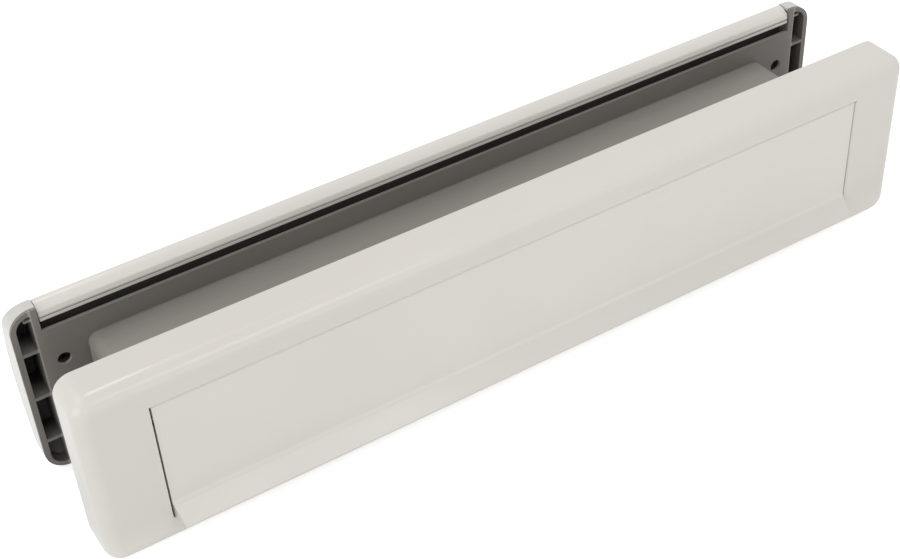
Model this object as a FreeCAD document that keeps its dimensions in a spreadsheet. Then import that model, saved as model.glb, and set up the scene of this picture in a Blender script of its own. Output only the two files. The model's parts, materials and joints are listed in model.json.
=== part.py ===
import FreeCAD, Part
import math
import os

import Sketcher

Vector = FreeCAD.Vector

# A two-part letter plate that keeps draughts out of a door. The street plate with its
# flap and sleeve is on the -Y side, the room unit with its own flap is on the +Y side.
# The door itself fills the space between the two and isn't part of the object.
# Millimetres. X along the plate, +Y into the room, +Z up. The origin is the centre of
# the four fixing holes, in the face of the room unit that lies on the door.

DIMENSIONS = {
    # street plate
    "plate_length": 341.6,
    "plate_height": 72.6,
    "plate_rise": 2.0,
    "plate_depth": 17.05,
    "plate_corner": 6.8,
    "plate_edge": 5.3,
    "plate_skin": 2.6,
    "door_thickness": 38.7,
    # flap opening and the collar behind it
    "side_gap": 0.8,
    "top_gap": 0.45,
    "bottom_gap": 0.6,
    "collar_wall": 2.0,
    "collar_depth": 11.25,
    # street flap, set in from the plate's edges and from its face
    "flap_end_margin": 24.8,
    "flap_top_margin": 11.9,
    "flap_foot_margin": 11.4,
    "flap_inset": 0.5,
    "flap_skin": 2.5,
    "flap_round": 0.9,
    "lip_height": 5.5,
    "lip_reach": 6.3,
    "lip_drop": 1.1,
    "lip_nose": 0.7,
    "lip_wall": 2.0,
    "lip_bevel": 1.2,
    "lip_fold_round": 3.0,
    "lip_end_wall": 2.5,
    # street flap's hinge
    "outer_hinge_drop": 7.5,
    "outer_rod_radius": 1.0,
    "outer_barrel_radius": 2.4,
    "outer_coil_radius": 1.5,
    # clearances and springs shared by both hinges
    "running_gap": 0.06,
    "rod_fit": 0.02,
    "rest_gap": 0.3,
    "spring_wire": 0.5,
    "spring_turns": 5,
    "spring_length": 7.0,
    "tang_length": 1.6,
    "tang_gap": 0.1,
    "tang_end_gap": 0.3,
    "barrel_length": 8.0,
    "barrel_ratio": 0.48,
    # telescopic sleeve
    "tunnel_end_margin": 1.0,
    "tunnel_inset": 7.25,
    "tunnel_corner": 4.0,
    "tunnel_wall": 1.8,
    "tunnel_reach": 30.0,
    "sleeve_wall": 1.6,
    "sleeve_gap": 0.35,
    "sleeve_reach": 30.0,
    "snout_reach": 5.9,
    "sleeve_flange": 2.0,
    "flange_inset": 0.4,
    "ear_width": 9.0,
    "ear_ratio": 0.755,
    "ear_margin": 0.4,
    # small hardware
    "fixing_inset": 14.8,
    "fixing_spacing_z": 22.0,
    "fixing_hole_radius": 2.5,
    "insert_radius": 3.2,
    "insert_bore": 2.1,
    "insert_length": 9.5,
    "insert_groove": 0.35,
    "boss_radius": 5.0,
    "boss_setback": 2.0,
    "screw_boss_radius": 2.6,
    "screw_radius": 1.2,
    "screw_length": 6.0,
    "screw_head_radius": 2.7,
    "screw_head_height": 1.7,
    "screw_dome": 1.0,
    "screw_end_gap": 0.3,
    "recess_depth": 1.0,
    "recess_reach": 1.5,
    "recess_slot": 0.7,
    "bolt_head_room": 4.2,
    "pillar_wall": 1.4,
    "rib_thickness": 1.4,
    "rib_ratio": 0.28,
    "buffer_radius": 2.2,
    "buffer_height": 1.2,
    "buffer_ratio": 0.82,
    "buffer_margin": 0.6,
    # seals
    "outer_seal_width": 3.0,
    "outer_seal_height": 2.0,
    "outer_seal_lap": 0.5,
    "outer_seal_corner": 1.5,
    "gasket_width": 3.8,
    "gasket_proud": 0.3,
    "inner_seal_width": 3.0,
    # room unit
    "unit_overhang": 0.55,
    "unit_inset": 0.85,
    "unit_depth": 16.0,
    "dome_rim_depth": 6.4,
    "unit_corner": 8.4,
    "unit_edge": 1.5,
    "base_thickness": 1.2,
    "slot_depth": 9.85,
    "land_inset": 8.75,
    "land_front": 4.2,
    "land_thickness": 1.0,
    "end_depth": 10.35,
    "end_wall": 2.6,
    "rim_width": 2.1,
    "block_floor": 1.2,
    "pocket_corner": 5.2,
    "rib_wall": 1.3,
    "rib_drop": 17.25,
    "rib_spacing": 19.65,
    "cap_wall": 1.1,
    "cap_gap": 0.1,
    "ledge_drop": 4.15,
    "ledge_depth": 4.0,
    "ledge_wall": 0.8,
    "ledge_width": 2.3,
    "ledge_recess": 2.5,
    "sill_wall": 1.5,
    "sill_depth": 5.0,
    # room flap
    "room_flap_gap": 0.4,
    "room_flap_skin": 1.5,
    "room_flap_inset": 0.25,
    "hook_setback": 0.8,
    "hook_height": 4.6,
    "hook_round": 2.6,
    "room_hinge_setback": 0.83,
    "room_hinge_drop": 4.15,
    "room_rod_radius": 1.0,
    "room_coil_radius": 1.45,
    "room_barrel_radius": 2.7,
    "seal_rib": 1.4,
    "seal_setout": 2.6,
    "seal_foot": 3.8,
    "seal_foot_wall": 1.0,
}

SIDES = {"left": -1, "right": 1}
SPIN_X = FreeCAD.Rotation(Vector(0, 1, 0), 90)
SPIN_Y = FreeCAD.Rotation(Vector(1, 0, 0), -90)
# Overlap of pieces that are joined into one solid
TOUCH = 0.2
# How far a cutting tool runs past the face that it cuts through
PAST = 1

doc = FreeCAD.newDocument("letter_plate")


class Size:
    """A length in mm, with the expression that ties it to the sheet."""

    def __init__(self, value, text):
        self.value = value
        self.text = text

    def __add__(self, other):
        other = as_size(other)
        return Size(self.value + other.value, "(%s + %s)" % (self.text, other.text))

    def __sub__(self, other):
        other = as_size(other)
        return Size(self.value - other.value, "(%s - %s)" % (self.text, other.text))

    def __mul__(self, factor):
        factor = as_size(factor)
        return Size(self.value * factor.value, "(%s * %s)" % (self.text, factor.text))

    def __truediv__(self, factor):
        factor = as_size(factor)
        return Size(self.value / factor.value, "(%s / %s)" % (self.text, factor.text))

    def __neg__(self):
        return self * -1

    def __rsub__(self, other):
        return as_size(other) - self

    __radd__ = __add__
    __rmul__ = __mul__


def as_size(number):
    """Turns a plain number into a Size, and leaves a Size as it is."""
    if isinstance(number, Size):
        return number
    return Size(float(number), "(%s)" % number)


def fill_sheet():
    """Writes the driving dimensions into the sheet, one named cell each."""
    sheet = doc.addObject("Spreadsheet::Sheet", "Sizes")
    for row, (alias, number) in enumerate(DIMENSIONS.items(), start=1):
        sheet.set("A%d" % row, alias)
        sheet.set("B%d" % row, str(number))
        sheet.setAlias("B%d" % row, alias)
    doc.recompute()
    return sheet


sheet = fill_sheet()


def size(alias):
    """The named driving dimension, read from the sheet."""
    return Size(float(sheet.get(alias)), "Sizes." + alias)


def new_body(name):
    """An empty body; its label names the exported file."""
    body = doc.addObject("PartDesign::Body", name)
    body.Label = name
    return body


def bind_place(feature, place):
    """Ties a feature's position to three sizes."""
    for axis, coordinate in zip("xyz", place):
        feature.setExpression(".Placement.Base." + axis, as_size(coordinate).text)


def add_box(body, low, high, cut=False):
    """A box between two corners, added to the body or cut from it."""
    kind = "SubtractiveBox" if cut else "AdditiveBox"
    box = body.newObject("PartDesign::" + kind, kind)
    for name, first, last in zip(("Length", "Width", "Height"), low, high):
        box.setExpression(name, (as_size(last) - first).text)
    bind_place(box, low)
    doc.recompute()
    return box


def add_rod(body, spin, start, length, radius, cut=False):
    """A cylinder along X or Y from its start, added or cut."""
    kind = "SubtractiveCylinder" if cut else "AdditiveCylinder"
    rod = body.newObject("PartDesign::" + kind, kind)
    rod.Placement = FreeCAD.Placement(Vector(), spin)
    rod.setExpression("Radius", as_size(radius).text)
    rod.setExpression("Height", as_size(length).text)
    bind_place(rod, start)
    doc.recompute()
    return rod


def origin_plane(body, role):
    """One of the body's own origin planes."""
    for feature in body.Origin.OriginFeatures:
        if feature.Role == role:
            return feature
    raise ValueError(role)


def draw_outline(body, role, points, offset):
    """A closed polygon sketch, every corner tied to the origin by two sizes."""
    sketch = body.newObject("Sketcher::SketchObject", "Outline")
    sketch.AttachmentSupport = [(origin_plane(body, role), "")]
    sketch.MapMode = "FlatFace"
    sketch.setExpression(".AttachmentOffset.Base.z", as_size(offset).text)
    corners = [(as_size(a), as_size(b)) for a, b in points]
    count = len(corners)
    for i in range(count):
        start, end = corners[i], corners[(i + 1) % count]
        first, last = [Vector(point[0].value, point[1].value, 0) for point in (start, end)]
        sketch.addGeometry(Part.LineSegment(first, last), False)
    for i in range(count):
        sketch.addConstraint(Sketcher.Constraint("Coincident", i, 2, (i + 1) % count, 1))
    for i, corner in enumerate(corners):
        for direction, coordinate in zip(("DistanceX", "DistanceY"), corner):
            index = sketch.addConstraint(Sketcher.Constraint(direction, -1, 1, i, 1, coordinate.value))
            sketch.setExpression("Constraints[%d]" % index, coordinate.text)
    return sketch


def add_prism(body, role, points, start, end, cut=False):
    """A polygon on YZ or XY, pushed along the plane's normal from start to end."""
    sketch = draw_outline(body, role, points, start)
    kind = "Pocket" if cut else "Pad"
    prism = body.newObject("PartDesign::" + kind, kind)
    prism.Profile = sketch
    prism.setExpression("Length", (as_size(end) - start).text)
    prism.Reversed = cut
    doc.recompute()
    return prism


def near(edge, axis, places):
    """True for an edge along the axis whose other coordinates are the given ones."""
    ends = [vertex.Point for vertex in edge.Vertexes]
    if len(ends) < 2:
        return False
    if abs(getattr(ends[0], axis) - getattr(ends[1], axis)) < 0.5:
        return False
    for other, wanted in places.items():
        if any(abs(getattr(point, other) - as_size(wanted).value) > 0.001 for point in ends):
            return False
    return True


def round_edges(body, radius, picks):
    """Rounds the edges named by axis and place on the body as it is now."""
    base = body.Tip
    names = []
    for i, edge in enumerate(base.Shape.Edges, start=1):
        if any(near(edge, axis, places) for axis, places in picks):
            names.append("Edge%d" % i)
    fillet = body.newObject("PartDesign::Fillet", "Round")
    fillet.Base = (base, names)
    fillet.setExpression("Radius", as_size(radius).text)
    doc.recompute()
    return fillet


def four_corners(half, low, high):
    """The picks for a block's four edges along Y."""
    return [("y", {"x": x, "z": z}) for x in (-half, half) for z in (low, high)]


def combine(kind, name, parts):
    """Joins finished solids under one label: MultiFuse or Compound."""
    joined = doc.addObject("Part::" + kind, name)
    joined.Label = name
    if kind == "Compound":
        joined.Links = parts
    else:
        joined.Shapes = parts
    doc.recompute()
    return joined


def take_away(name, base, tool):
    """The base with the tool's space cut out."""
    cut = doc.addObject("Part::Cut", name)
    cut.Label = name
    cut.Base = base
    cut.Tool = tool
    doc.recompute()
    return cut


# Street side, from the face on the street to the back that lies on the door
street_back = -size("door_thickness")
street_face = street_back - size("plate_depth")
plate_half = size("plate_length") / 2
plate_top = size("plate_rise") + size("plate_height") / 2
plate_bottom = size("plate_rise") - size("plate_height") / 2
collar_back = street_face + size("collar_depth")
flap_half = plate_half - size("flap_end_margin")
flap_top = plate_top - size("flap_top_margin")
flap_bottom = plate_bottom + size("flap_foot_margin")
flap_fold = flap_bottom + size("lip_height")
opening_half = flap_half + size("side_gap")
opening_top = flap_top + size("top_gap")
opening_bottom = flap_bottom - size("bottom_gap")
collar_half = opening_half + size("collar_wall")
collar_top = opening_top + size("collar_wall")
collar_bottom = opening_bottom - size("collar_wall")
flap_face = street_face + size("flap_inset")
flap_back = flap_face + size("flap_skin")
outer_axis_z = flap_top - size("outer_hinge_drop")
fixing_x = plate_half - size("fixing_inset")
fixing_z = size("fixing_spacing_z") / 2
barrel_station = flap_half * size("barrel_ratio")
buffer_station = flap_half * size("buffer_ratio")
ear_station = flap_half * size("ear_ratio")
boss_end = street_back - size("boss_setback")
insert_start = boss_end - size("insert_length")

# Tunnel of the room unit and the sleeve of the street plate that slides in it
tunnel_half = flap_half + size("tunnel_end_margin")
tunnel_top = (flap_top - flap_bottom) / 2 - size("tunnel_inset")
tunnel_inner_half = tunnel_half - size("tunnel_wall")
tunnel_inner_top = tunnel_top - size("tunnel_wall")
sleeve_half = tunnel_inner_half - size("sleeve_gap")
sleeve_top = tunnel_inner_top - size("sleeve_gap")
slot_half = sleeve_half - size("sleeve_wall")
slot_top = sleeve_top - size("sleeve_wall")
sleeve_end = street_back + size("sleeve_reach")
flange_back = collar_back + size("sleeve_flange")
snout_front = collar_back - size("snout_reach")

# Room side, from the door face to the room
unit_half = plate_half + size("unit_overhang")
unit_top = size("plate_height") / 2 - size("unit_inset")
dome_rise = size("unit_depth") - size("dome_rim_depth")
dome_radius = (unit_top * unit_top + dome_rise * dome_rise) / (2 * dome_rise)
dome_centre = size("unit_depth") - dome_radius
wall_inner = unit_half - size("end_depth")
pocket_outer = unit_half - size("rim_width")
pocket_inner = wall_inner + size("end_wall")
pocket_top = unit_top - size("rim_width")
block_inset = size("cap_wall") + size("cap_gap")
base_top = unit_top - size("slot_depth")
land_back = size("land_front") + size("land_thickness")
land_top = unit_top - size("land_inset")
room_flap_half = wall_inner - size("room_flap_gap")
room_flap_top = unit_top - size("room_flap_inset")
room_flap_inside = size("room_flap_inset") + size("room_flap_skin")
hook_bottom = room_flap_top - size("hook_height")
room_axis_z = unit_top - size("room_hinge_drop")
seal_front = land_back + size("rest_gap")
seal_back = seal_front + size("seal_foot")
seal_level = tunnel_top + size("seal_setout")
seal_reach = room_flap_half - size("spring_length") - size("tang_length") - size("barrel_length") / 2

screw_places = [
    (side * ear_station, height)
    for side in SIDES.values()
    for height in (
        collar_top + size("screw_boss_radius") + TOUCH,
        collar_bottom - size("screw_boss_radius") - TOUCH,
    )
]
fixing_places = [(side * fixing_x, level * fixing_z) for side in (-1, 1) for level in (-1, 1)]


def dome_depth(inset, height):
    """How far the domed face, or one that lies an inset under it, stands from the door at a height."""
    radius, height = dome_radius - inset, as_size(height)
    rise = math.sqrt(radius.value ** 2 - height.value ** 2)
    return dome_centre + Size(rise, "sqrt(%s ^ 2 - %s ^ 2)" % (radius.text, height.text))


skin_depth = dome_depth(room_flap_inside, room_axis_z)
room_axis_y = skin_depth - size("room_coil_radius") - size("room_hinge_setback")


def outer_frame():
    """Street plate: a rounded shell with a lined opening for the flap."""
    body = new_body("outer_frame")
    add_box(body, (-plate_half, street_face, plate_bottom), (plate_half, street_back, plate_top))
    round_edges(body, size("plate_corner"), four_corners(plate_half, plate_bottom, plate_top))
    round_edges(body, size("plate_edge"), [("x", {"y": street_face, "z": plate_top})])
    hollow_plate(body)
    outer_bosses(body)
    outer_ribs(body)
    collar_low = (-collar_half, street_face + size("plate_skin") / 2, collar_bottom)
    add_box(body, collar_low, (collar_half, collar_back, collar_top))
    opening_low = (-opening_half, street_face - PAST, opening_bottom)
    add_box(body, opening_low, (opening_half, street_back, opening_top), cut=True)
    buffer_blocks(body)
    hole_radius = size("outer_rod_radius") + size("rod_fit")
    start = (-collar_half - PAST, flap_back, outer_axis_z)
    add_rod(body, SPIN_X, start, 2 * (collar_half + PAST), hole_radius, cut=True)
    for side in SIDES.values():
        tang_hole(body, side, opening_half, flap_back, outer_axis_z, size("outer_coil_radius"))
    return body


def hollow_plate(body):
    """Opens the back and leaves the skin."""
    base = body.Tip
    back = [
        "Face%d" % i
        for i, face in enumerate(base.Shape.Faces, start=1)
        if abs(face.BoundBox.YMin - street_back.value) < 0.001
    ]
    shell = body.newObject("PartDesign::Thickness", "Shell")
    shell.Base = (base, back)
    shell.setExpression("Value", size("plate_skin").text)
    shell.Reversed = True
    doc.recompute()


def outer_bosses(body):
    """Bosses for the fixing bolts' inserts and for the sleeve's screws."""
    root = street_face + size("plate_skin") - TOUCH
    for x, z in fixing_places:
        add_rod(body, SPIN_Y, (x, root, z), boss_end - root, size("boss_radius"))
    for x, z in fixing_places:
        depth = size("insert_length") + PAST
        add_rod(body, SPIN_Y, (x, insert_start, z), depth, size("insert_radius"), cut=True)
    for x, z in screw_places:
        add_rod(body, SPIN_Y, (x, root, z), collar_back - root, size("screw_boss_radius"))
        pilot = collar_back - size("screw_length")
        add_rod(body, SPIN_Y, (x, pilot, z), size("screw_length") + PAST, size("screw_radius"), cut=True)


def outer_ribs(body):
    """Ribs between the collar and the rim of the street plate."""
    root = street_face + size("plate_skin") + TOUCH
    reach_up = plate_top - size("plate_skin") + TOUCH
    reach_down = plate_bottom + size("plate_skin") - TOUCH
    half = size("rib_thickness") / 2
    for step in range(-2, 4):
        x = (step - 0.5) * size("rib_ratio") * plate_half
        add_box(body, (x - half, root, collar_top - TOUCH), (x + half, boss_end, reach_up))
        add_box(body, (x - half, root, reach_down), (x + half, boss_end, collar_bottom + TOUCH))
    side_reach = plate_half - size("plate_skin") + TOUCH
    for near_x, far_x in ((collar_half - TOUCH, side_reach), (-side_reach, TOUCH - collar_half)):
        add_box(body, (near_x, root, -half), (far_x, boss_end, half))


def buffer_blocks(body):
    """Two blocks on the collar's floor that carry the flap's buffers."""
    half = size("buffer_radius") + size("buffer_margin")
    front = flap_back + size("rest_gap") + size("buffer_height")
    for side in SIDES.values():
        x = side * buffer_station
        low = (x - half, front, opening_bottom - TOUCH)
        add_box(body, low, (x + half, collar_back, outer_buffer_z + half))


outer_buffer_z = opening_bottom + size("buffer_radius") + size("buffer_margin")


def tang_hole(body, side, wall, y, z, coil_radius, cut=True):
    """A small hole beside a rod hole, which takes the spring's tang."""
    radius = size("spring_wire") / 2 + size("tang_gap")
    depth = size("tang_length") + size("tang_end_gap")
    start = wall if side > 0 else -wall - depth
    add_rod(body, SPIN_X, (start, y, z - coil_radius), depth, radius, cut)


def outer_flap():
    """Street flap: a flat panel with a finger lip flared along its foot."""
    body = new_body("outer_flap")
    tip_y = street_face - size("lip_reach")
    tip_z = flap_bottom - size("lip_drop")
    outline = [
        (flap_face, flap_top),
        (flap_back, flap_top),
        (flap_back, flap_bottom),
        (flap_face, flap_bottom),
        (tip_y, tip_z),
        (tip_y, tip_z + size("lip_nose")),
        (flap_face, flap_fold),
    ]
    add_prism(body, "YZ_Plane", outline, -flap_half, flap_half)
    round_edges(body, size("flap_round"), [("x", {"y": flap_face, "z": flap_top})])
    round_edges(body, size("lip_fold_round"), [("x", {"y": flap_face, "z": flap_fold})])
    finger_recess(body, tip_y, tip_z)
    lip_bevels(body, tip_y)
    outer_barrels(body)
    return body


def finger_recess(body, tip_y, tip_z):
    """Hollows the lip from below, which leaves a wall and closed ends."""
    slope = (flap_fold.value - tip_z.value) / (flap_face - tip_y).value
    lean = math.hypot(1, slope)
    wall = size("lip_wall") * lean
    below = tip_z - PAST
    outline = [
        (flap_face, flap_fold - wall),
        (flap_face, below),
        (flap_face + (wall + below - flap_fold) / slope, below),
    ]
    half = flap_half - size("lip_end_wall")
    add_prism(body, "YZ_Plane", outline, -half, half, cut=True)


def lip_bevels(body, tip_y):
    """Slants the lip's two ends inwards towards its tip."""
    for side in SIDES.values():
        outline = [
            (side * flap_half, flap_face),
            (side * (flap_half + PAST), flap_face),
            (side * (flap_half + PAST), tip_y - PAST),
            (side * (flap_half - size("lip_bevel")), tip_y - PAST),
        ]
        below = flap_bottom - size("lip_drop") - PAST
        add_prism(body, "XY_Plane", outline, below, flap_fold, cut=True)


def outer_barrels(body):
    """Hinge barrels on the flap's back, with the rod's bore and room for the springs."""
    length = size("barrel_length")
    groove = opening_half - size("spring_length")
    for start in (-groove, -barrel_station - length / 2, -length / 2,
                  barrel_station - length / 2, groove - length):
        add_rod(body, SPIN_X, (start, flap_back, outer_axis_z), length, size("outer_barrel_radius"))
    bore = size("outer_rod_radius") + size("running_gap")
    start = (-flap_half - PAST, flap_back, outer_axis_z)
    add_rod(body, SPIN_X, start, 2 * (flap_half + PAST), bore, cut=True)
    room = size("outer_coil_radius") + size("spring_wire") / 2 + size("rest_gap")
    for side in SIDES.values():
        start = groove if side > 0 else -groove - size("spring_length")
        add_rod(body, SPIN_X, (start, flap_back, outer_axis_z), size("spring_length"), room, cut=True)
        inner = groove - size("tang_length") - size("tang_end_gap")
        tang_hole(body, side, inner, flap_back, outer_axis_z, size("outer_coil_radius"))


def outer_tunnel():
    """Sleeve with a flange and four ears, screwed to the back of the street plate."""
    body = new_body("outer_tunnel")
    add_box(body, (-sleeve_half, snout_front, -sleeve_top), (sleeve_half, sleeve_end, sleeve_top))
    outer_round = size("tunnel_corner") - size("tunnel_wall") - size("sleeve_gap")
    round_edges(body, outer_round, four_corners(sleeve_half, -sleeve_top, sleeve_top))
    inset = size("flange_inset")
    flange_low = (inset - collar_half, collar_back, collar_bottom + inset)
    add_box(body, flange_low, (collar_half - inset, flange_back, collar_top - inset))
    for x, z in screw_places:
        half = size("ear_width") / 2
        reach = size("screw_boss_radius") + size("ear_margin")
        low, high = (collar_top - PAST, z + reach) if z.value > 0 else (z - reach, collar_bottom + PAST)
        add_box(body, (x - half, collar_back, low), (x + half, flange_back, high))
        hole = size("screw_radius") + size("rod_fit")
        add_rod(body, SPIN_Y, (x, collar_back - PAST, z), size("sleeve_flange") + 2 * PAST, hole, cut=True)
    slot_low = (-slot_half, snout_front - PAST, -slot_top)
    add_box(body, slot_low, (slot_half, sleeve_end + PAST, slot_top), cut=True)
    return body


def outer_tunnel_screws():
    """Pan-head screws with a cross recess, driven from the room side."""
    screws = []
    head_end = flange_back + size("screw_head_height")
    for i, (x, z) in enumerate(screw_places, start=1):
        body = new_body("sleeve_screw_%d" % i)
        tip = collar_back - size("screw_length") + size("screw_end_gap")
        add_rod(body, SPIN_Y, (x, tip, z), flange_back - tip + TOUCH, size("screw_radius"))
        add_rod(body, SPIN_Y, (x, flange_back, z), size("screw_head_height"), size("screw_head_radius"))
        head = body.Tip
        rim = ["Edge%d" % number for number, edge in enumerate(head.Shape.Edges, start=1)
               if all(abs(vertex.Point.y - head_end.value) < 0.001 for vertex in edge.Vertexes)]
        dome = body.newObject("PartDesign::Fillet", "Dome")
        dome.Base = (head, rim)
        dome.setExpression("Radius", size("screw_dome").text)
        doc.recompute()
        deep = head_end - size("recess_depth")
        arm = size("recess_reach")
        slot = size("recess_slot") / 2
        add_box(body, (x - arm, deep, z - slot), (x + arm, head_end + PAST, z + slot), cut=True)
        add_box(body, (x - slot, deep, z - arm), (x + slot, head_end + PAST, z + arm), cut=True)
        screws.append(body)
    return combine("Compound", "outer_tunnel_screws", screws)


def threaded_inserts():
    """Brass inserts in the bosses, which take the fixing bolts."""
    inserts = []
    groove = size("insert_length") / 5
    for i, (x, z) in enumerate(fixing_places, start=1):
        body = new_body("insert_%d" % i)
        core = size("insert_radius") - size("insert_groove")
        add_rod(body, SPIN_Y, (x, insert_start, z), size("insert_length"), core)
        for step in (0, 2, 4):
            add_rod(body, SPIN_Y, (x, insert_start + step * groove, z), groove, size("insert_radius"))
        start = (x, insert_start - PAST, z)
        add_rod(body, SPIN_Y, start, size("insert_length") + 2 * PAST, size("insert_bore"), cut=True)
        inserts.append(body)
    return combine("Compound", "threaded_inserts", inserts)


def hinge_rod(name, half, y, z, radius):
    """A plain steel rod along X."""
    body = new_body(name)
    add_rod(body, SPIN_X, (-half, y, z), 2 * half, radius)
    return body


def ring(name, outer, inner, y_low, y_high, corner):
    """A flat rectangular ring in the plane of the plate."""
    body = new_body(name)
    (out_x, out_low, out_high), (in_x, in_low, in_high) = outer, inner
    add_box(body, (-out_x, y_low, out_low), (out_x, y_high, out_high))
    round_edges(body, corner, four_corners(out_x, out_low, out_high))
    add_box(body, (-in_x, y_low - PAST, in_low), (in_x, y_high + PAST, in_high), cut=True)
    return body


def outer_flap_seal():
    """Foam ring on the flap's back that closes on the sleeve's mouth."""
    width = size("outer_seal_width")
    out_x = slot_half - size("outer_seal_lap") + width
    out_z = slot_top - size("outer_seal_lap") + width
    return ring("outer_flap_seal", (out_x, -out_z, out_z), (out_x - width, width - out_z, out_z - width),
                flap_back, flap_back + size("outer_seal_height"), size("outer_seal_corner"))


def outer_gasket():
    """Foam ring inside the plate's rim that presses on the door."""
    width = size("gasket_width")
    inset = size("plate_skin") + TOUCH
    out_x, low, high = plate_half - inset, plate_bottom + inset, plate_top - inset
    return ring("outer_gasket", (out_x, low, high), (out_x - width, low + width, high - width),
                boss_end, street_back + size("gasket_proud"), size("plate_corner") - size("plate_skin"))


def buffers(name, places, front):
    """Small rubber pads that the flap closes on."""
    pads = []
    for i, (x, z) in enumerate(places, start=1):
        body = new_body("%s_%d" % (name, i))
        add_rod(body, SPIN_Y, (x, front, z), size("buffer_height"), size("buffer_radius"))
        pads.append(body)
    return combine("Compound", name, pads)


def dome_body(name, first, last, y_in, half, inset):
    """A block along X under the domed face, from the height -half to half."""
    body = new_body(name)
    radius = dome_radius - inset
    add_rod(body, SPIN_X, (first, dome_centre, 0), last - first, radius)
    beyond = radius + PAST
    low_y, low_x, high_x = dome_centre - beyond, first - PAST, last + PAST
    add_box(body, (low_x, low_y, -beyond), (high_x, y_in, beyond), cut=True)
    for low, high in ((half, beyond), (-beyond, -half)):
        add_box(body, (low_x, low_y, low), (high_x, dome_centre + beyond, high), cut=True)
    return body


def end_shape(name, side, x_in, inset, y_in, depth_inset, corner):
    """The shape of one end of the room unit, an inset under its outside."""
    x_out, half = unit_half - inset, unit_top - inset
    first, last = (x_in, x_out) if side > 0 else (-x_out, -x_in)
    body = dome_body(name, first, last, y_in, half, depth_inset)
    round_edges(body, corner, [("y", {"x": side * x_out, "z": z}) for z in (-half, half)])
    return body


def end_cap(word, side):
    """Cream cover over one end of the room unit: a domed shell open to the door and to the flap."""
    base, wall, corner = size("base_thickness"), size("cap_wall"), size("unit_corner")
    solid = end_shape("cap_solid_" + word, side, wall_inner, as_size(0), base, 0, corner)
    edge = {"y": dome_depth(0, unit_top), "z": unit_top}
    round_edges(solid, size("unit_edge"), [("x", edge)])
    hollow = end_shape("cap_hollow_" + word, side, wall_inner - PAST, wall, base - PAST, wall, corner - wall)
    return take_away("end_cap_" + word, solid, hollow)


def end_block(word, side):
    """The grey block inside one end cap, before its pockets are cut."""
    corner = size("unit_corner") - block_inset
    return end_shape("end_block_" + word, side, wall_inner, block_inset, 0, block_inset, corner)


def end_pocket(word, side):
    """The hollow of one end block, open to the door."""
    rim, corner = size("rim_width"), size("pocket_corner")
    floor = block_inset + size("block_floor")
    return end_shape("end_pocket_" + word, side, pocket_inner, rim, -PAST, floor, corner)


def pocket_ribs(word, side):
    """Three ribs across one pocket, and the ledge at its head."""
    half = size("rib_wall") / 2
    inside_floor = block_inset + size("block_floor") / 2
    pieces = []
    for step in range(3):
        middle = unit_top - size("rib_drop") - step * size("rib_spacing")
        farther = middle + half if middle.value > 0 else middle - half
        name = "pocket_rib_%s_%d" % (word, step + 1)
        depth = dome_depth(inside_floor, farther)
        pieces.append(pocket_piece(name, side, pocket_outer, depth, middle - half, middle + half))
    return pieces + [rod_ledge(word, side)]


def rod_ledge(word, side):
    """A ledge at the pocket's head with a shallow recess, beside the rod's end."""
    width = size("ledge_width")
    bottom = unit_top - size("ledge_drop")
    ceiling = pocket_top + TOUCH / 2
    name = "rod_ledge_" + word
    ledge = pocket_piece(name, side, pocket_inner + width, size("ledge_depth"), bottom, ceiling)
    first = pocket_inner if side > 0 else -pocket_inner - width
    low = (first, -PAST, bottom + size("ledge_wall"))
    add_box(ledge, low, (first + width, size("ledge_recess"), pocket_top), cut=True)
    return ledge


def pocket_piece(name, side, x_out, depth, z_low, z_high):
    """A box that bridges one pocket from the end wall outwards."""
    body = new_body(name)
    first, last = (pocket_inner, x_out) if side > 0 else (-x_out, -pocket_inner)
    add_box(body, (first - TOUCH, 0, z_low), (last + TOUCH, depth, z_high))
    return body


def base_plate():
    """Plate on the door with the tunnel's wall, the seal land, bolt pillars and the sill."""
    body = new_body("base_plate")
    base, slot = size("base_thickness"), wall_inner
    add_box(body, (-unit_half, 0, -unit_top), (unit_half, base, unit_top))
    round_edges(body, size("unit_corner"), four_corners(unit_half, -unit_top, unit_top))
    add_box(body, (-slot, -PAST, base_top), (slot, base + PAST, unit_top + PAST), cut=True)
    pillar = size("bolt_head_room") + size("pillar_wall")
    for x, z in fixing_places:
        add_rod(body, SPIN_Y, (x, base - TOUCH, z), size("land_front"), pillar)
    reach = slot + TOUCH
    add_box(body, (-reach, size("land_front"), -land_top), (reach, land_back, land_top))
    add_box(body, (-slot, 0, -unit_top), (slot, size("sill_depth"), size("sill_wall") - unit_top))
    return body


def tunnel_block(name, half, top, start, end, corner):
    """A rounded block along Y: the tunnel's outside or its hollow."""
    body = new_body(name)
    add_box(body, (-half, start, -top), (half, end, top))
    round_edges(body, corner, four_corners(half, -top, top))
    return body


def stop_post(word, side):
    """A post from the base plate that carries one of the room flap's buffers."""
    body = new_body("stop_post_" + word)
    base = size("base_thickness")
    start = (side * buffer_station, base - TOUCH, room_buffer_z)
    add_rod(body, SPIN_Y, start, room_buffer_front - base + TOUCH, size("buffer_radius"))
    return body


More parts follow.
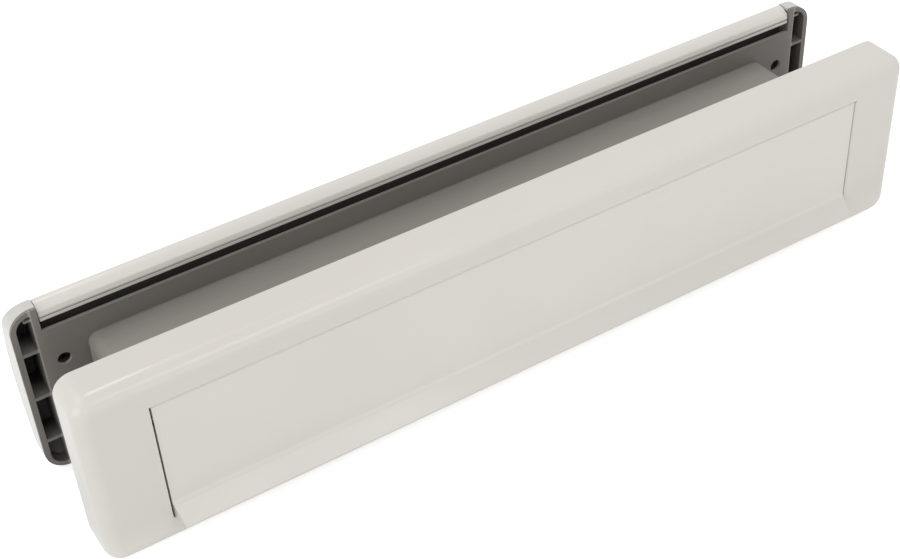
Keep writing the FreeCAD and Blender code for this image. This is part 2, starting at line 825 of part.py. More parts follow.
def inner_frame():
    """Grey moulding of the room unit: base plate, tunnel, seal land and ribbed end blocks."""
    reach = size("tunnel_reach")
    corner = size("tunnel_corner")
    inner_corner = corner - size("tunnel_wall")
    hollow = (tunnel_inner_half, tunnel_inner_top, -reach - PAST, land_back + PAST, inner_corner)
    holes = [tunnel_block("tunnel_hollow", *hollow)]
    blocks, pockets, ribs = [], [], []
    for word, side in SIDES.items():
        blocks += [end_block(word, side), stop_post(word, side)]
        pockets.append(end_pocket(word, side))
        ribs += pocket_ribs(word, side)
        holes.append(rod_hole(word, side))
    for i, (x, z) in enumerate(fixing_places, start=1):
        bolt = new_body("fixing_hole_%d" % i)
        add_rod(bolt, SPIN_Y, (x, -PAST, z), land_back + 2 * PAST, size("fixing_hole_radius"))
        head_depth = land_back + PAST - size("base_thickness")
        add_rod(bolt, SPIN_Y, (x, size("base_thickness"), z), head_depth, size("bolt_head_room"))
        holes.append(bolt)
    tunnel = tunnel_block("tunnel_outside", tunnel_half, tunnel_top, -reach, land_back, corner)
    solid = combine("MultiFuse", "frame_solid", [base_plate(), tunnel] + blocks)
    hollowed = take_away("frame_hollowed", solid, combine("MultiFuse", "frame_pockets", pockets))
    ribbed = combine("MultiFuse", "frame_ribbed", [hollowed] + ribs)
    return take_away("inner_frame", ribbed, combine("MultiFuse", "frame_holes", holes))


def rod_hole(word, side):
    """The holes in one end wall for the room flap's rod and its spring's tang."""
    body = new_body("rod_hole_" + word)
    depth = size("end_wall") + 2 * PAST
    start = wall_inner - PAST if side > 0 else PAST - wall_inner - depth
    hole = size("room_rod_radius") + size("rod_fit")
    add_rod(body, SPIN_X, (start, room_axis_y, room_axis_z), depth, hole)
    tang = size("spring_wire") / 2 + size("tang_gap")
    deep = size("tang_length") + size("tang_end_gap") + PAST
    start = wall_inner - PAST if side > 0 else PAST - wall_inner - deep
    add_rod(body, SPIN_X, (start, room_axis_y, room_axis_z - size("room_coil_radius")), deep, tang)
    return body


def inner_flap():
    """Room flap: a domed skin hooked over the hinge rod, with two ribs for the seal."""
    works = seal_ribs() + room_barrels()
    joined = combine("MultiFuse", "flap_joined", [flap_cover()] + works)
    return take_away("inner_flap", joined, combine("MultiFuse", "flap_holes", room_flap_holes()))


def flap_cover():
    """The room flap's skin: its dome, its top and the hook behind it."""
    inset, hook = size("room_flap_inset"), size("hook_setback")
    half, top = room_flap_half, room_flap_top
    solid = dome_body("flap_solid", -half, half, hook, top, inset)
    foot = size("sill_depth") + size("room_flap_gap")
    add_box(solid, (-half - PAST, 0, -top - PAST), (half + PAST, foot, hook_bottom), cut=True)
    round_edges(solid, size("hook_round"), [("x", {"y": hook, "z": top})])
    rim = dome_depth(inset, top)
    for level in (top, -top):
        round_edges(solid, size("unit_edge") - inset, [("x", {"y": rim, "z": level})])
    skin = size("room_flap_skin")
    hook_inside, ceiling = hook + skin, top - skin
    hollow = dome_body("flap_hollow", -half - PAST, half + PAST, hook_inside, ceiling, room_flap_inside)
    round_edges(hollow, size("hook_round") - skin, [("x", {"y": hook_inside, "z": ceiling})])
    return take_away("flap_cover", solid, hollow)


def seal_ribs():
    """Two ribs behind the room flap, each with a foot that carries a seal strip."""
    half = size("seal_rib") / 2
    foot = size("inner_seal_width") / 2
    inside_skin = size("room_flap_inset") + size("room_flap_skin") / 2
    root = dome_depth(inside_skin, seal_level + half)
    foot_end = seal_back + size("seal_foot_wall")
    ribs = []
    for name, level in (("upper", 1), ("lower", -1)):
        body = new_body("seal_rib_" + name)
        z = level * seal_level
        add_box(body, (-seal_reach, seal_back, z - half), (seal_reach, root, z + half))
        add_box(body, (-seal_reach, seal_back, z - foot), (seal_reach, foot_end, z + foot))
        ribs.append(body)
    return ribs


def room_barrels():
    """Hinge barrels under the room flap's hook."""
    length = size("barrel_length")
    inner = wall_inner - size("spring_length")
    starts = (-inner, -barrel_station - length / 2, -length / 2, barrel_station - length / 2, inner - length)
    barrels = []
    for i, start in enumerate(starts, start=1):
        body = new_body("room_barrel_%d" % i)
        add_rod(body, SPIN_X, (start, room_axis_y, room_axis_z), length, size("room_barrel_radius"))
        barrels.append(body)
    return barrels


def room_flap_holes():
    """The bore through the room flap's barrels and the holes for the springs' tangs."""
    bore = new_body("room_bore")
    start = (-room_flap_half, room_axis_y, room_axis_z)
    add_rod(bore, SPIN_X, start, 2 * room_flap_half, size("room_rod_radius") + size("running_gap"))
    holes = [bore]
    inner = wall_inner - size("spring_length")
    for word, side in SIDES.items():
        body = new_body("room_tang_hole_" + word)
        tang_hole(body, -side, -inner, room_axis_y, room_axis_z, size("room_coil_radius"), cut=False)
        holes.append(body)
    return holes


def inner_flap_seal():
    """Two soft strips on the room flap's ribs that close on the seal land."""
    strips = []
    half = size("inner_seal_width") / 2
    for i, level in enumerate((1, -1), start=1):
        body = new_body("seal_strip_%d" % i)
        z = level * seal_level
        add_box(body, (-seal_reach, seal_front, z - half), (seal_reach, seal_back, z + half))
        strips.append(body)
    return combine("Compound", "inner_flap_seal", strips)


def torsion_spring(name, side, wall, y, z, coil_radius):
    """A coil round the hinge rod, with a straight tang into the frame and one into the flap."""
    wire = size("spring_wire").value / 2
    room = size("spring_length").value
    radius = coil_radius.value
    margin = wire + size("tang_gap").value
    height = room - 2 * margin
    turns = size("spring_turns").value
    helix = Part.makeHelix(height / turns, height, radius)
    start = Vector(radius, 0, 0)
    direction = Vector(0, 2 * math.pi * radius * turns, height)
    section = Part.Wire([Part.makeCircle(wire, start, direction)])
    coil = Part.Wire(helix.Edges).makePipeShell([section], True, True)
    tang = size("tang_length").value + margin
    pieces = []
    for level, way in ((0, -1), (height, 1)):
        bend = Vector(radius, 0, level)
        pieces.append(Part.makeSphere(wire, bend))
        pieces.append(Part.makeCylinder(wire, tang, bend, Vector(0, 0, way)))
    spring = doc.addObject("Part::Feature", name)
    spring.Label = name
    spring.Shape = coil.multiFuse(pieces)
    edge = wall.value - room + margin
    first = edge if side > 0 else -edge - height
    spring.Placement = FreeCAD.Placement(Vector(first, y.value, z.value), SPIN_X)
    return spring


room_buffer_z = size("buffer_radius") + size("buffer_margin") / 2 - land_top
room_buffer_stop = dome_depth(room_flap_inside, room_buffer_z - size("buffer_radius"))
room_buffer_front = room_buffer_stop - size("rest_gap") - size("buffer_height")


def build():
    """Builds every sub-part and returns them in order."""
    stations = [side * buffer_station for side in SIDES.values()]
    outer_buffer_front = flap_back + size("rest_gap")
    room_rod_half = pocket_inner - size("rod_fit")
    nodes = [
        outer_frame(),
        outer_flap(),
        outer_flap_seal(),
        outer_gasket(),
        outer_tunnel(),
        outer_tunnel_screws(),
        threaded_inserts(),
        hinge_rod("outer_hinge_rod", collar_half, flap_back, outer_axis_z, size("outer_rod_radius")),
        buffers("outer_buffers", [(x, outer_buffer_z) for x in stations], outer_buffer_front),
        inner_frame(),
        inner_flap(),
        inner_flap_seal(),
        hinge_rod("inner_hinge_rod", room_rod_half, room_axis_y, room_axis_z, size("room_rod_radius")),
        buffers("inner_buffers", [(x, room_buffer_z) for x in stations], room_buffer_front),
    ]
    for word, side in SIDES.items():
        nodes.append(end_cap(word, side))
        nodes.append(torsion_spring("outer_spring_" + word, side, opening_half, flap_back, outer_axis_z,
                                    size("outer_coil_radius")))
        nodes.append(torsion_spring("inner_spring_" + word, side, wall_inner, room_axis_y, room_axis_z,
                                    size("room_coil_radius")))
    return nodes


def check_document(nodes):
    """Stops if a feature failed or a sub-part has no valid shape."""
    failed = [item.Label for item in doc.Objects if "Invalid" in item.State or "Error" in item.State]
    if failed:
        raise RuntimeError("failed: " + ", ".join(failed))
    for node in nodes:
        if node.Shape.isNull() or not node.Shape.isValid():
            raise RuntimeError("%s has no valid shape" % node.Label)


def write_nodes(nodes):
    """Writes one file for each sub-part."""
    os.makedirs("parts", exist_ok=True)
    for node in nodes:
        node.Shape.exportStep("parts/%s.step" % node.Label)
        box = node.Shape.BoundBox
        print("%-22s solids %d volume %9.1f faces %4d  x %.1f..%.1f y %.1f..%.1f z %.1f..%.1f" % (
            node.Label, len(node.Shape.Solids), node.Shape.Volume, len(node.Shape.Faces),
            box.XMin, box.XMax, box.YMin, box.YMax, box.ZMin, box.ZMax))


nodes = build()
doc.recompute()
check_document(nodes)
write_nodes(nodes)
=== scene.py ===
"""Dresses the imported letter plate, adds the small shapes that it lacks, and sets up the
photograph's camera and its white studio.

Everything is in metres, in the CAD's frame: X along the plate, Y from the street to the room and
Z up, from the middle of the door's room face. Values in millimetres are multiplied by MM.
"""

import json
import math

import bpy
import bmesh
from mathutils import Matrix, Vector


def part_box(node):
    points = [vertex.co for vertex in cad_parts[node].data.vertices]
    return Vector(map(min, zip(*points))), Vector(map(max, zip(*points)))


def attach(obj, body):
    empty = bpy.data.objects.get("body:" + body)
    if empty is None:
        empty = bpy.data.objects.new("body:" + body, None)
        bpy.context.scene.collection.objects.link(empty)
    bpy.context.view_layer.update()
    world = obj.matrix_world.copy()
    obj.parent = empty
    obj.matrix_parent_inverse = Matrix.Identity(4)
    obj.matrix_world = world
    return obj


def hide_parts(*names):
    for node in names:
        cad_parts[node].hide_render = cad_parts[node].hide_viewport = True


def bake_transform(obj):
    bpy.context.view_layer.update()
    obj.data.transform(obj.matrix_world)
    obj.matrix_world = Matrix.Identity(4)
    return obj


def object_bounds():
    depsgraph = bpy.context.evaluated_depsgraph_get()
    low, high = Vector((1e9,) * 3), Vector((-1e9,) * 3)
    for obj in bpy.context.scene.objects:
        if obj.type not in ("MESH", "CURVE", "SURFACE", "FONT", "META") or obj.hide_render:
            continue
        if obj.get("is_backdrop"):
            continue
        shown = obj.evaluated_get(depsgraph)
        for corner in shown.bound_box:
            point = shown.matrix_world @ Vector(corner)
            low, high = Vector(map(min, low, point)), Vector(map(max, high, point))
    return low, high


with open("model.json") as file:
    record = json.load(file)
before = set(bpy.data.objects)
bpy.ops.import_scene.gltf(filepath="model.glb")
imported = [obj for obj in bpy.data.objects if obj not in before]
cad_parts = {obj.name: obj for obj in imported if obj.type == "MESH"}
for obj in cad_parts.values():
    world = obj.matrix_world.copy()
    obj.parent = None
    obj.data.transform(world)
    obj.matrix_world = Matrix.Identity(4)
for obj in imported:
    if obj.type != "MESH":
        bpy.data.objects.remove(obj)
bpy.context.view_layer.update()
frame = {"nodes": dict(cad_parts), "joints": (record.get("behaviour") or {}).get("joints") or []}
nodes = frame["nodes"]
scene = bpy.context.scene

MM = 0.001


# Camera, fitted to the photograph: its sensor and lens in millimetres, its place in metres

SENSOR_WIDTH = 36.0
LENS = 64.41
CAMERA_PLACE = (-0.24446, -0.41988, 0.37130)
CAMERA_RIGHT = (0.8472, -0.5292, -0.0473)
CAMERA_FORWARD = (0.38317, 0.67026, -0.63555)


def make_camera():
    """The photograph's camera, from its place and the directions of its view."""
    data = bpy.data.cameras.new("camera")
    data.sensor_width = SENSOR_WIDTH
    data.lens = LENS
    data.clip_start = 0.02
    data.clip_end = 20.0
    camera = bpy.data.objects.new("camera", data)
    scene.collection.objects.link(camera)
    right = Vector(CAMERA_RIGHT).normalized()
    forward = Vector(CAMERA_FORWARD).normalized()
    up = right.cross(forward)
    turn = Matrix((right, up, -forward)).transposed().to_4x4()
    camera.matrix_world = Matrix.Translation(Vector(CAMERA_PLACE)) @ turn
    scene.camera = camera


make_camera()


# Nodes and colours

def to_linear(colour):
    """A 0-255 sRGB colour as Blender's linear colour."""
    parts = []
    for value in colour:
        value = value / 255.0
        parts.append(value / 12.92 if value <= 0.04045 else ((value + 0.055) / 1.055) ** 2.4)
    return (*parts, 1.0)


def fill(tree, node, inputs):
    """Gives a node's inputs their values, or their links where the value is a socket."""
    for name, value in inputs.items():
        if isinstance(value, bpy.types.NodeSocket):
            tree.links.new(value, node.inputs[name])
        else:
            node.inputs[name].default_value = value


def add_node(tree, kind, inputs, **settings):
    """Makes a node with its settings and its inputs."""
    node = tree.nodes.new(kind)
    for name, value in settings.items():
        setattr(node, name, value)
    fill(tree, node, inputs)
    return node


def worked(tree, operation, *values):
    """A sum, product or the like of sockets and numbers."""
    return add_node(tree, "ShaderNodeMath", dict(enumerate(values)), operation=operation).outputs[0]


class Shader:
    """A node material on a Principled surface, in its object's own coordinates."""

    def __init__(self, name):
        self.material = bpy.data.materials.new(name)
        self.material.use_nodes = True
        self.tree = self.material.node_tree
        self.place = add_node(self.tree, "ShaderNodeTexCoord", {}).outputs["Object"]

    def surface(self, values):
        """Gives the surface its values and links, and returns the finished material."""
        fill(self.tree, self.tree.nodes["Principled BSDF"], values)
        return self.material

    def scaled(self, scale):
        """The object's own coordinates, each times its own scale."""
        inputs = {"Vector": self.place, "Scale": scale}
        return add_node(self.tree, "ShaderNodeMapping", inputs).outputs["Vector"]

    def noise(self, scale, detail=2.0, roughness=0.5, where=None):
        """A noise of so many waves to the metre."""
        inputs = {"Vector": where or self.place, "Scale": scale, "Detail": detail,
                  "Roughness": roughness}
        return add_node(self.tree, "ShaderNodeTexNoise", inputs).outputs["Fac"]

    def cells(self, scale):
        """The distance from the middles of cells, so many to the metre."""
        inputs = {"Vector": self.place, "Scale": scale}
        return add_node(self.tree, "ShaderNodeTexVoronoi", inputs).outputs["Distance"]

    def spread(self, value, between, onto=(0.0, 1.0)):
        """Maps one range onto another, and holds the value at its ends."""
        inputs = {"Value": value, "From Min": between[0], "From Max": between[1],
                  "To Min": onto[0], "To Max": onto[1]}
        return add_node(self.tree, "ShaderNodeMapRange", inputs).outputs["Result"]

    def mixed(self, factor, dark, light):
        """A colour from the dark tone at 0 to the light one at 1."""
        inputs = {0: factor, 6: to_linear(dark), 7: to_linear(light)}
        return add_node(self.tree, "ShaderNodeMix", inputs, data_type="RGBA").outputs[2]

    def axis(self, letter):
        """One of the object's own coordinates."""
        return add_node(self.tree, "ShaderNodeSeparateXYZ", {0: self.place}).outputs[letter]

    def aside(self, letter):
        """The distance from the object's middle along an axis."""
        return worked(self.tree, "ABSOLUTE", self.axis(letter))

    def above(self, value, start, full):
        """A mask of 0 up to start and 1 from full, both in millimetres."""
        return self.spread(value, (start * MM, full * MM))

    def below(self, value, full, end):
        """A mask of 1 up to full and 0 from end, both in millimetres."""
        return self.spread(value, (full * MM, end * MM), onto=(1.0, 0.0))

    def both(self, *masks):
        """A mask that is 1 where each of these is."""
        total = masks[0]
        for mask in masks[1:]:
            total = worked(self.tree, "MULTIPLY", total, mask)
        return total

    def distance(self, across, up):
        """The distance from the nearest of four points, so many millimetres aside and up or down."""
        squares = []
        for letter, middle in (("X", across), ("Z", up)):
            off = worked(self.tree, "SUBTRACT", self.aside(letter), middle * MM)
            squares.append(worked(self.tree, "MULTIPLY", off, off))
        return worked(self.tree, "SQRT", worked(self.tree, "ADD", *squares))

    def toned(self, colour, painted_light_and_shade):
        """The colour times each painted light or shade mark's level where that mark's mask is 1."""
        for mask, level in painted_light_and_shade:
            inputs = {0: colour, "Scale": self.spread(mask, (0.0, 1.0), onto=(1.0, level))}
            scaled = add_node(self.tree, "ShaderNodeVectorMath", inputs, operation="SCALE")
            colour = scaled.outputs[0]
        return colour

    def bumped(self, *layers):
        """Bumps, each on the last: a height, its distance in millimetres and its strength."""
        last = {}
        for height, distance, strength in layers:
            inputs = {"Height": height, "Distance": distance * MM, "Strength": strength, **last}
            last = {"Normal": add_node(self.tree, "ShaderNodeBump", inputs).outputs["Normal"]}
        return last["Normal"]


# Materials, with their tones as 0-255 sRGB colours

CREAM_TONES = {"dark": (214, 210, 203), "light": (218, 214, 208)}
PLATE_TONES = {"dark": (209, 205, 197), "light": (213, 209, 202)}
COVER_TONES = {"dark": (210, 208, 202), "light": (213, 211, 205)}
GREY_TONES = {"dark": (116, 112, 107), "light": (126, 122, 117)}

# The ranges of a noise, round its middle, that tones and roughness are spread over
NARROW = (0.35, 0.65)
WIDE = (0.3, 0.7)

# The middles of the bolt holes, in millimetres aside and up or down
BOLT_PLACE = (156.0, 11.0)


def cream_plastic(name, tones, painted_light_and_shade=None):
    """Moulded off-white plastic: soft gloss, a faint orange peel and slow changes of tone."""
    made = Shader(name)
    colour = made.mixed(made.spread(made.noise(9.0, 3.0), NARROW), **tones)
    return made.surface({
        # Painted light and shade, where given, scale the colour
        "Base Color": made.toned(colour, painted_light_and_shade(made)) if painted_light_and_shade else colour,
        "Roughness": made.spread(made.noise(28.0, 4.0), WIDE, onto=(0.31, 0.39)),
        "IOR": 1.5,
        "Coat Weight": 0.4,
        "Coat Roughness": 0.12,
        "Normal": made.bumped((made.noise(260.0), 0.08, 0.12), (made.noise(1500.0), 0.01, 0.25)),
    })


def grey_plastic(name, tones, painted_light_and_shade=None):
    """Fine-textured grey plastic, with flow marks along the part."""
    made = Shader(name)
    flow = made.noise(3.0, 4.0, where=made.scaled((2.0, 14.0, 14.0)))
    colour = made.mixed(made.spread(flow, NARROW), **tones)
    return made.surface({
        # Painted light and shade, where given, scale the colour
        "Base Color": made.toned(colour, painted_light_and_shade(made)) if painted_light_and_shade else colour,
        "Roughness": made.spread(made.noise(60.0, 4.0), WIDE, onto=(0.43, 0.55)),
        "Normal": made.bumped((made.noise(1800.0, 3.0, 0.6), 0.12, 0.45)),
    })


def foam(name, colour):
    """Dark closed-cell foam, paler towards the walls of its cells."""
    made = Shader(name)
    cells = made.cells(1600.0)
    pale = [value * 1.6 for value in colour]
    return made.surface({
        "Base Color": made.mixed(made.spread(cells, (0.1, 0.7)), colour, pale),
        "Roughness": 0.9,
        "Normal": made.bumped((cells, 0.3, 0.7)),
    })


def metal(name, colour, roughness, scale):
    """Bare or plated metal, its fine grain drawn out along the axes with a small scale."""
    made = Shader(name)
    lines = made.noise(900.0, 3.0, where=made.scaled(scale))
    dull = [value * 0.82 for value in colour]
    rough = (roughness - 0.06, roughness + 0.1)
    return made.surface({
        "Base Color": made.mixed(made.spread(lines, WIDE), dull, colour),
        "Metallic": 1.0,
        "Roughness": made.spread(made.noise(300.0, 3.0), WIDE, onto=rough),
        "Normal": made.bumped((lines, 0.03, 0.4)),
    })


def room_painted_light(made):
    """Painted light and shade on the room moulding: lit tunnel, edges and holes, shaded recesses."""
    across, depth, height = made.aside("X"), made.axis("Y"), made.axis("Z")
    bolt = made.distance(*BOLT_PLACE)
    # Painted light: the tunnel, the plate's top edge, the end walls and the bolt holes are made
    # lighter.
    tunnel_light = made.below(depth, -1.2, -0.3)
    base_plate = made.below(across, 160.0, 161.2)
    # Painted shade: the pockets, the trough and the bolt seats are made darker, near black inside.
    pocket_shade = made.both(made.above(across, 160.0, 161.2), made.above(depth, 3.0, 9.0))
    trough_shade = made.both(base_plate, made.above(height, 19.0, 21.0), made.above(depth, 1.2, 2.2))
    top_edge_highlight = made.both(base_plate, made.above(height, 25.42, 25.56), made.below(depth, 1.2, 1.4))
    end_wall = made.both(made.below(depth, 0.2, 0.5), made.below(across, 164.0, 164.2))
    wall_face_light = made.both(end_wall, made.above(across, 159.0, 163.4))
    wall_edge_highlight = made.both(end_wall, made.above(across, 163.05, 163.25))
    bolt_hole_light = made.both(made.below(bolt, 2.62, 2.78), made.above(depth, 0.0, 0.1))
    bolt_seat_shade = made.both(made.below(bolt, 4.4, 4.6), made.above(depth, 1.1, 1.4))
    return [(tunnel_light, 1.5), (pocket_shade, 0.2), (trough_shade, 0.25), (top_edge_highlight, 1.6), (wall_face_light, 1.15),
            (wall_edge_highlight, 1.6), (bolt_hole_light, 2.2), (bolt_seat_shade, 0.75)]


def flap_painted_shade(made):
    """Painted shade on the street flap: a little darker below the top gap and on the finger lip."""
    height = made.axis("Z")
    return [(made.above(height, 25.0, 26.3), 0.93), (made.below(height, -17.8, -17.0), 0.95)]


def plate_painted_light(made):
    """Painted light on the street plate: a little paler towards its foot."""
    return [(made.below(made.axis("Z"), -31.0, -20.0), 1.10)]


def hook_painted_light_and_shade(made):
    """Painted light on the hook's upright face and painted shade in its parting line."""
    height = made.axis("Z")
    face = made.both(made.below(height, 33.1, 33.5), made.above(height, 31.3, 31.4))
    line = made.both(made.above(height, 30.5, 30.62), made.below(height, 31.3, 31.45))
    return [(face, 1.12), (line, 0.45)]


def cover_painted_shade(made):
    """Painted shade on the end covers: a little darker on top."""
    return [(made.above(made.axis("Z"), 27.0, 33.0), 0.88)]


cream = cream_plastic("cream_moulding", CREAM_TONES)
flap_cream = cream_plastic("cream_flap", CREAM_TONES, flap_painted_shade)
plate_cream = cream_plastic("cream_frame", PLATE_TONES, plate_painted_light)
cover_cream = cream_plastic("cream_cap", COVER_TONES, cover_painted_shade)
hook_cream = cream_plastic("cream_hook", CREAM_TONES, hook_painted_light_and_shade)
grey = grey_plastic("grey_sleeve", GREY_TONES)
room_grey = grey_plastic("grey_moulding", GREY_TONES, room_painted_light)
seal_foam = foam("seal_foam", (46, 45, 43))
rubber = foam("buffer_rubber", (36, 36, 36))
zinc = metal("zinc_plated", (196, 194, 184), 0.34, (1.0, 1.0, 1.0))
rod_steel = metal("drawn_rod", (188, 188, 186), 0.26, (0.02, 1.0, 1.0))
spring_steel = metal("spring_wire", (150, 150, 150), 0.3, (0.1, 1.0, 1.0))
brass = metal("turned_brass", (205, 168, 98), 0.28, (1.0, 0.05, 1.0))

LOOKS = [
    (cream, ["inner_flap"]),
    (flap_cream, ["outer_flap"]),
    (plate_cream, ["outer_frame"]),
    (cover_cream, ["end_cap_left", "end_cap_right"]),
    (grey, ["outer_tunnel"]),
    (room_grey, ["inner_frame"]),
    (seal_foam, ["outer_flap_seal", "outer_gasket", "inner_flap_seal"]),
    (rubber, ["outer_buffers", "inner_buffers"]),
    (zinc, ["outer_tunnel_screws"]),
    (brass, ["threaded_inserts"]),
    (rod_steel, ["outer_hinge_rod", "inner_hinge_rod"]),
    (spring_steel, ["outer_spring_left", "outer_spring_right",
                    "inner_spring_left", "inner_spring_right"]),
]
for look, names in LOOKS:
    for name in names:
        for slot in nodes[name].material_slots:
            slot.material = look


# Pieces, with their sizes and places in millimetres

# Edges that turn by less than this many degrees are shaded smooth
SOFT_EDGE = 32.0

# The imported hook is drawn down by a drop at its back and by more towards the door
HOOK_BACK = 3.4
HOOK_LOW = 30.4
HOOK_DROP = 0.45
HOOK_SLOPE = 0.4

# The flap's barrels round their hinge keep their shape, but for what faces the door
BARREL_RADIUS = 2.72
BARREL_FRONT = 2.5

# Points this near to each other are one, and ones this near to a plane lie in it
WELD = 0.002
NEAR = 0.01

# The hook's front, as Y and Z: over its sloping top and down its face, into the parting line, round
# the narrow foot and up again inside
HOOK_OUTLINE = [
    (5.7, 35.12), (5.2, 35.13), (4.6, 35.1), (4.0, 34.99), (3.4, 34.78), (2.8, 34.48), (2.2, 34.14),
    (1.6, 33.79), (1.2, 33.55), (0.97, 33.36), (0.83, 33.12), (0.76, 32.8), (0.45, 31.3),
    (1.0, 31.25), (1.0, 30.7),
    (0.42, 30.65), (0.4, 29.5), (0.47, 29.33), (0.65, 29.25), (1.9, 29.25),
    (1.9, 31.0), (2.4, 32.5), (5.0, 34.2),
]
HOOK_END_INSET = 0.05
HOOK_RUNS = 12

# The bead beside the street flap's right end, as high as the flap but for its foot
BEAD_GAP = 0.3
BEAD_WIDTH = 0.6
BEAD_INSET = 0.05
BEAD_DEPTH = 2.9
BEAD_FOOT = 1.4
BEAD_BEVEL = 0.12


def finished(name, work, look, body):
    """Turns worked geometry into a piece that rides on a body, smooth but for its sharp edges."""
    bmesh.ops.recalc_face_normals(work, faces=work.faces)
    for edge in work.edges:
        edge.smooth = len(edge.link_faces) == 2 and edge.calc_face_angle() < math.radians(SOFT_EDGE)
    for face in work.faces:
        face.smooth = True
    mesh = bpy.data.meshes.new(name)
    work.to_mesh(mesh)
    work.free()
    piece = bpy.data.objects.new(name, mesh)
    scene.collection.objects.link(piece)
    mesh.materials.append(look)
    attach(piece, body)
    return piece


def room_flap_cover():
    """The room flap as packed, with its hook drawn down towards the door as in the photograph."""
    hinge = next(joint["pos_m"] for joint in frame["joints"] if joint["name"] == "room_flap_hinge")
    work = bmesh.new()
    work.from_mesh(nodes["inner_flap"].data)
    bmesh.ops.remove_doubles(work, verts=work.verts, dist=WELD * MM)
    for vertex in work.verts:
        y, z = vertex.co.y, vertex.co.z
        off_hinge = math.hypot(y - hinge[1], z - hinge[2])
        clear = off_hinge > BARREL_RADIUS * MM or y < BARREL_FRONT * MM
        if y < (HOOK_BACK + NEAR) * MM and z > HOOK_LOW * MM and clear:
            vertex.co.z -= HOOK_DROP * MM + HOOK_SLOPE * (HOOK_BACK * MM - y)
    piece = finished("room_flap_cover", work, cream, "room_flap")
    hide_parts("inner_flap")


def hook_front():
    """The hook's visible front, its outline pushed along the flap in a few runs."""
    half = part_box("inner_flap")[1][0] - HOOK_END_INSET * MM
    work = bmesh.new()
    rings = []
    for i in range(HOOK_RUNS + 1):
        x = half * (2 * i / HOOK_RUNS - 1)
        rings.append([work.verts.new((x, y * MM, z * MM)) for y, z in HOOK_OUTLINE])
    count = len(HOOK_OUTLINE)
    for first, second in zip(rings, rings[1:]):
        for i in range(count):
            after = (i + 1) % count
            work.faces.new((first[i], first[after], second[after], second[i]))
    ends = [work.faces.new(rings[0]), work.faces.new(rings[-1])]
    bmesh.ops.triangulate(work, faces=ends)
    finished("room_flap_hook_front", work, hook_cream, "room_flap")


def end_bead():
    """A bead in the gap at the street flap's right end, which is narrow in the photograph."""
    flap_low, flap_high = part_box("outer_flap")
    plate_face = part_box("outer_frame")[0][1]
    low = (flap_high[0] + BEAD_GAP * MM, plate_face + BEAD_INSET * MM, flap_low[2] + BEAD_FOOT * MM)
    high = (low[0] + BEAD_WIDTH * MM, low[1] + BEAD_DEPTH * MM, flap_high[2])
    work = bmesh.new()
    bmesh.ops.create_cube(work, size=1.0)
    for vertex in work.verts:
        for i in range(3):
            vertex.co[i] = low[i] if vertex.co[i] < 0 else high[i]
    bmesh.ops.bevel(work, geom=work.edges[:], offset=BEAD_BEVEL * MM, segments=2, affect="EDGES",
                    profile=0.5)
    finished("street_plate_end_bead", work, plate_cream, "street_unit")


def twisting_spring(name):
    """A hinge's spring, copied as one still wire in place of the imported one."""
    piece = bpy.data.objects.new(name + "_wire", nodes[name].data.copy())
    scene.collection.objects.link(piece)
    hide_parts(name)
    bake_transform(piece)


room_flap_cover()
hook_front()
for side, word in ((-1, "left"), (1, "right")):
    twisting_spring("outer_spring_" + word)
    twisting_spring("inner_spring_" + word)
end_bead()


# Studio: floor, world and lamps

# How far the floor reaches to each side, and how far below the object it is
FLOOR_REACH = 6.0
FLOOR_GAP = 0.1 * MM

# The floor's own shade, what it glows with for all rays that see it, and more for the camera's
FLOOR_SHADE = 0.8
SEEN_GLOW = 0.25
CAMERA_GLOW = 0.35

# How bright the world is as light, and for the rays that see it
WORLD_LIGHT = 0.8
WORLD_SEEN = 1.0

MIDDLE = (0.0, 0.0, 0.0)
STREET_CORNER = (-0.157, -0.05, 0.036)
STREET_FACE = (-0.03, -0.05, 0.0)

# Name, place, target, width and height, power and colour of each lamp: a warm one above and
# behind for the tops, a strip for the streak at the street plate's near corner, a small one above
# the street side, a wide one low on that side for the faces, and a cooler one for the left ends
LAMPS = [
    ("key", (-0.8, 0.55, 1.4), MIDDLE, (1.4, 1.0), 3.5, (1.0, 0.97, 0.93)),
    ("over", (-0.006, 0.395, 0.838), STREET_CORNER, (0.05, 0.35), 0.45, (1.0, 0.98, 0.95)),
    ("front", (0.12, -0.62, 0.6), STREET_FACE, (0.3, 0.25), 0.5, (1.0, 0.98, 0.96)),
    ("low", (0.1, -1.8, 0.12), MIDDLE, (2.0, 0.8), 3.9, (1.0, 1.0, 1.0)),
    ("left", (-1.2, -0.4, 0.35), MIDDLE, (0.8, 0.8), 3.2, (0.9, 0.96, 1.0)),
]


def seen_rays(tree):
    """1 for rays from the camera, from gloss and through glass, else 0."""
    rays = add_node(tree, "ShaderNodeLightPath", {}).outputs
    either = worked(tree, "MAXIMUM", rays["Is Camera Ray"], rays["Is Glossy Ray"])
    return worked(tree, "MAXIMUM", either, rays["Is Transmission Ray"])


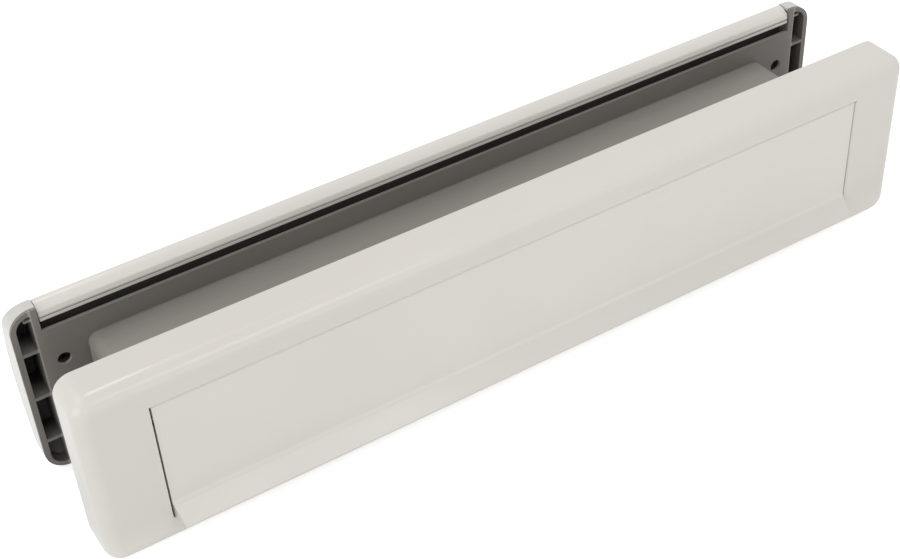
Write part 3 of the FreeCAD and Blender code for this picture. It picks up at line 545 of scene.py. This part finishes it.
def floor_white():
    """Pale grey that glows for the rays that see it, so that it is white but for shadows."""
    material = bpy.data.materials.new("floor_white")
    material.use_nodes = True
    tree = material.node_tree
    tree.nodes.clear()
    camera_ray = add_node(tree, "ShaderNodeLightPath", {}).outputs["Is Camera Ray"]
    seen_glow = worked(tree, "MULTIPLY", seen_rays(tree), SEEN_GLOW)
    strength = worked(tree, "MULTIPLY_ADD", camera_ray, CAMERA_GLOW, seen_glow)
    shade = (FLOOR_SHADE, FLOOR_SHADE, FLOOR_SHADE, 1.0)
    diffuse = add_node(tree, "ShaderNodeBsdfDiffuse", {"Color": shade}).outputs[0]
    glow = add_node(tree, "ShaderNodeEmission", {"Strength": strength}).outputs[0]
    surface = add_node(tree, "ShaderNodeAddShader", {0: diffuse, 1: glow}).outputs[0]
    add_node(tree, "ShaderNodeOutputMaterial", {"Surface": surface})
    return material


def make_floor(level):
    """A wide floor that keeps the object's shadow."""
    work = bmesh.new()
    bmesh.ops.create_grid(work, x_segments=1, y_segments=1, size=FLOOR_REACH)
    mesh = bpy.data.meshes.new("floor")
    work.to_mesh(mesh)
    work.free()
    floor = bpy.data.objects.new("floor", mesh)
    floor.location = (0.0, 0.0, level)
    scene.collection.objects.link(floor)
    mesh.materials.append(floor_white())
    floor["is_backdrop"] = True


def make_world():
    """White behind the object and in its reflections, and a plain soft light from all around."""
    world = bpy.data.worlds.new("studio")
    scene.world = world
    world.use_nodes = True
    tree = world.node_tree
    tree.nodes.clear()
    strength = {"Value": seen_rays(tree), "To Min": WORLD_LIGHT, "To Max": WORLD_SEEN}
    background = {"Color": (1.0, 1.0, 1.0, 1.0),
                  "Strength": add_node(tree, "ShaderNodeMapRange", strength).outputs["Result"]}
    surface = add_node(tree, "ShaderNodeBackground", background).outputs[0]
    add_node(tree, "ShaderNodeOutputWorld", {"Surface": surface})


def make_lamp(name, place, target, size, power, colour):
    """A soft rectangular lamp that looks at a point."""
    data = bpy.data.lights.new(name, "AREA")
    data.shape = "RECTANGLE"
    data.size, data.size_y = size
    data.energy = power
    data.color = colour
    lamp = bpy.data.objects.new(name, data)
    lamp.location = place
    aim = Vector(target) - Vector(place)
    lamp.rotation_euler = aim.to_track_quat("-Z", "Y").to_euler()
    scene.collection.objects.link(lamp)


make_floor(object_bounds()[0][2] - FLOOR_GAP)
make_world()
for lamp in LAMPS:
    make_lamp(*lamp)

scene.view_settings.view_transform = "Standard"
